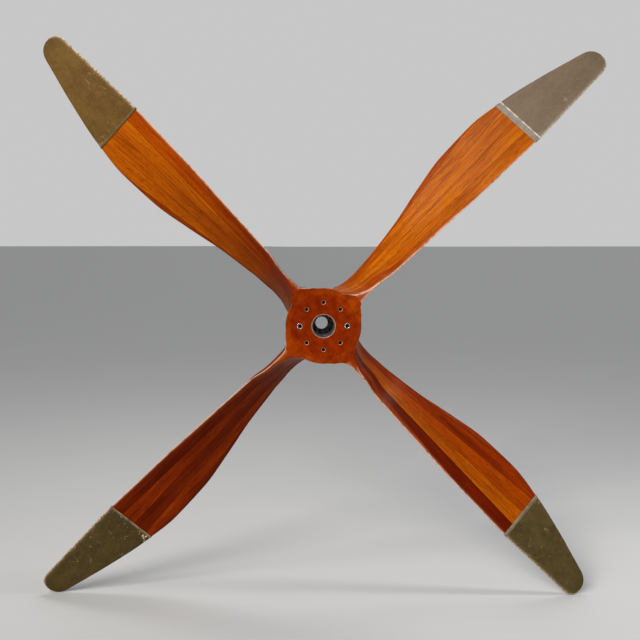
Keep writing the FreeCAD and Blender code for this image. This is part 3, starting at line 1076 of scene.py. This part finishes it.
def make_pegs(name, angle, material):
    """Peg ends, level with the driving face and a hair proud of it."""
    shapes, sides = [], 28
    for radius, offset in PEGS:
        rows = []
        for reach, sink in PEG_PROFILE:
            ring = []
            for k in range(sides):
                a = 2 * math.pi * k / sides
                r, s = radius + reach * math.cos(a), offset + reach * math.sin(a)
                p = section_points(r)
                share = (s - p[0][0]) / (p[1][0] - p[0][0])
                y = p[0][1] + share * (p[1][1] - p[0][1]) + sink
                ring.append(placed(r, np.array([[s, y]]), angle)[0])
            rows.append(ring)
        shapes.append(skin(rows))
    mesh = closed_mesh("peg_ends_" + name, *joined(shapes), 50)
    pegs = link("peg_ends_" + name, mesh, material)
    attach(pegs, "root")
    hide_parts("pegs_" + name)


def make_sleeve(material):
    out, near, far, (low, high) = BORE + WALL, -HALF_DEPTH, HALF_DEPTH, STEP_DEPTHS
    profile = rounded(
        [(out, near), (out, far), (BORE, far), (BORE, high), (STEP_BORE, high),
         (STEP_BORE, low), (BORE, low), (BORE, near)],
        [0.5, 0.5, 0.9, 0.8, 0.9, 0.9, 0.8, 1.0], 4,
    )
    sleeve = link("bore_lining", closed_mesh("bore_lining", *lathe(profile, 160), 50), material)
    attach(sleeve, "root")
    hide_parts("bore_sleeve")


def make_ferrules(material):
    out, near, far, flare = FERRULE - 0.02, -HALF_DEPTH, FERRULE_LENGTH - HALF_DEPTH, 1.6
    profile = rounded(
        [(out, near), (out, far), (HOLE, far), (HOLE, near + flare), (HOLE + flare, near)],
        [0.5, 0.4, 0.4, 0.6, 0.5], 4,
    )
    verts, faces = lathe(profile, 64)
    shapes = [([(x + at * MM, y, z) for x, y, z in verts], faces) for at in (-CIRCLE, CIRCLE)]
    ferrules = link("hole_bushes", closed_mesh("hole_bushes", *joined(shapes), 40), material)
    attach(ferrules, "root")
    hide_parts("bolt_ferrules")


# ---- the model
make_boards({board: wood(board, seed) for seed, board in enumerate(sorted(SLOTS), 1)})

# Name, three colours, seed, gloss, colour where worn, scratches, chips.
FABRICS = {
    "a1": ("cover_grey", ((0.205, 0.148, 0.096), (0.172, 0.120, 0.074), (0.245, 0.180, 0.116)),
           1, 0.46, (0.62, 0.52, 0.40), 0.20, 0.20),
    "b1": ("cover_brown", ((0.180, 0.100, 0.022), (0.135, 0.072, 0.015), (0.205, 0.120, 0.032)),
           2, 0.45, (0.74, 0.60, 0.46), 0.15, 0.2),
    "a2": ("cover_olive", ((0.108, 0.071, 0.017), (0.072, 0.048, 0.012), (0.140, 0.096, 0.028)),
           3, 0.34, (0.72, 0.52, 0.38), 0.6, 1.0),
    "b2": ("cover_green_grey",
           ((0.110, 0.076, 0.024), (0.080, 0.054, 0.016), (0.138, 0.098, 0.036)),
           4, 0.38, (0.55, 0.45, 0.30), 0.30, 0.4),
}
# Name, dark, light and bare colours, seed, and where the bare ridge runs; the pale ridge line is
# also a painted highlight.
TAPES = {
    "a1": ("tape_grey", ((0.120, 0.092, 0.070), (0.32, 0.27, 0.21), (0.80, 0.72, 0.62)), 1, 0.88),
    "b1": ("tape_brown", ((0.095, 0.060, 0.016), (0.16, 0.095, 0.03), (0.24, 0.16, 0.06)), 2, 0.85),
    "a2": ("tape_pale", ((0.090, 0.070, 0.030), (0.28, 0.19, 0.12), (0.74, 0.54, 0.42)), 3, 0.25),
    "b2": ("tape_olive", ((0.130, 0.100, 0.060), (0.25, 0.20, 0.13), (0.40, 0.33, 0.23)), 4, 0.2),
}
COVER_CLOTHS = {blade: fabric(blade, *looks) for blade, looks in FABRICS.items()}
TAPE_CLOTHS = {blade: hem_tape(blade, *looks) for blade, looks in TAPES.items()}
PEG_MATERIAL = peg_wood("stained_pegs", 3)
for blade_name, blade_angle in ANGLES.items():
    cover = make_sheath(blade_name, blade_angle, COVER_CLOTHS[blade_name])
    hem = make_hem(blade_name, blade_angle, TAPE_CLOTHS[blade_name])
    make_pegs(blade_name, blade_angle, PEG_MATERIAL)
make_sleeve(metal("lining_steel", (0.42, 0.40, 0.36), (0.060, 0.045, 0.032), 0.34, 1, 0.7))
make_ferrules(metal("bush_steel", (0.72, 0.70, 0.66), (0.20, 0.16, 0.11), 0.26, 2, 0.25))

# ---- stage
# The floor rises very slightly to the left, so that both lower tips rest on it.
FLOOR_REACH, FLOOR_SLOPE, FLOOR_STEPS = 60.0, 1.6, 160


def floor_rise(x):
    t = min(max((FLOOR_SLOPE - x) / (2 * FLOOR_SLOPE), 0.0), 1.0)
    return t * t * (3 - 2 * t)


feet = [min((v.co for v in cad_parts[node].data.vertices), key=lambda co: co.z)
        for node in ("tip_sheath_a2", "tip_sheath_b2")]
rise = (feet[0].z - feet[1].z) / (floor_rise(feet[0].x) - floor_rise(feet[1].x))
base = feet[1].z - rise * floor_rise(feet[1].x) - 0.0005
across = [-FLOOR_REACH, *np.linspace(-FLOOR_SLOPE, FLOOR_SLOPE, FLOOR_STEPS), FLOOR_REACH]
floor_verts = [
    (x, y, base + rise * floor_rise(x)) for y in (-FLOOR_REACH, FLOOR_REACH) for x in across
]
row = len(across)
floor_mesh = bpy.data.meshes.new("floor")
floor_mesh.from_pydata(floor_verts, [], [(i, i + 1, row + i + 1, row + i) for i in range(row - 1)])
floor_mesh.polygons.foreach_set("use_smooth", [True] * (row - 1))
floor_shader = Shader("floor_pale")
speck = floor_shader.noise(floor_shader.place, 3.0, 0.5, 3.0)
floor_shader.finish(
    Base_Color=floor_shader.ramp(speck, (0.3, (0.565, 0.56, 0.55)), (0.7, (0.575, 0.57, 0.56))),
    Roughness=0.7,
)
floor = link("floor", floor_mesh, floor_shader.material)
floor.location = (0, 3, 0)

scene.view_settings.view_transform = "Standard"
scene.view_settings.look = "Medium High Contrast"
scene.world = bpy.data.worlds.new("studio")
scene.world.use_nodes = True
nodes, links = scene.world.node_tree.nodes, scene.world.node_tree.links
shown = nodes["Background"]
shown.inputs["Color"].default_value = (0.50, 0.50, 0.50, 1)
lighting = nodes.new("ShaderNodeBackground")
lighting.inputs["Color"].default_value = (0.12, 0.13, 0.15, 1)
pick = nodes.new("ShaderNodeMixShader")
links.new(nodes.new("ShaderNodeLightPath").outputs["Is Camera Ray"], pick.inputs[0])
links.new(lighting.outputs[0], pick.inputs[1])
links.new(shown.outputs[0], pick.inputs[2])
links.new(pick.outputs[0], nodes["World Output"].inputs["Surface"])


def light(name, kind, place, power, colour):
    """A light that looks at the hub; returns its data."""
    data = bpy.data.lights.new(name, kind)
    data.energy, data.color = power, colour
    lamp = bpy.data.objects.new(name, data)
    lamp.location = place
    lamp.rotation_euler = (-Vector(place)).to_track_quat("-Z", "Y").to_euler()
    scene.collection.objects.link(lamp)
    return data


def sun_light(name, place, power, spread, colour):
    light(name, "SUN", place, power, colour).angle = math.radians(spread)


def area_light(name, place, size, power, colour):
    data = light(name, "AREA", place, power, colour)
    data.shape = "RECTANGLE"
    data.size, data.size_y = size


WARM, WHITE = (1.0, 0.98, 0.94), (1, 1, 1)
sun_light("key", (-2.4, -4.4, 2.8), 1.75, 20, WARM)
sun_light("back", (2.2, 4.4, 3.4), 0.30, 70, WHITE)
area_light("near", (-2.1, -2.2, 2.7), (1.2, 1.2), 64, WARM)
area_light("edge", (3.3, -0.25, 1.2), (0.4, 2.2), 34, WHITE)
area_light("rim", (0.4, 1.6, 3.4), (3.0, 1.0), 40, WHITE)

# Camera: a little above the hub, looking slightly down at it; angles in radians.
DISTANCE, DROP, SWING = 4.0, 0.0884, -0.0488
ASIDE, ABOVE = 0.0089, -0.0151
LENS, SENSOR = 61.03, 36.0
right = Vector((math.cos(SWING), math.sin(SWING), 0))
level = Vector((-math.sin(SWING), math.cos(SWING), 0))
ahead = level * math.cos(DROP) - Vector((0, 0, math.sin(DROP)))
up = right.cross(ahead)
camera_data = bpy.data.cameras.new("camera")
camera_data.sensor_width, camera_data.lens = SENSOR, LENS
camera = bpy.data.objects.new("camera", camera_data)
scene.collection.objects.link(camera)
turn = Matrix((right, up, -ahead)).transposed().to_4x4()
camera.matrix_world = Matrix.Translation(-right * ASIDE - ahead * DISTANCE - up * ABOVE) @ turn
scene.camera = camera
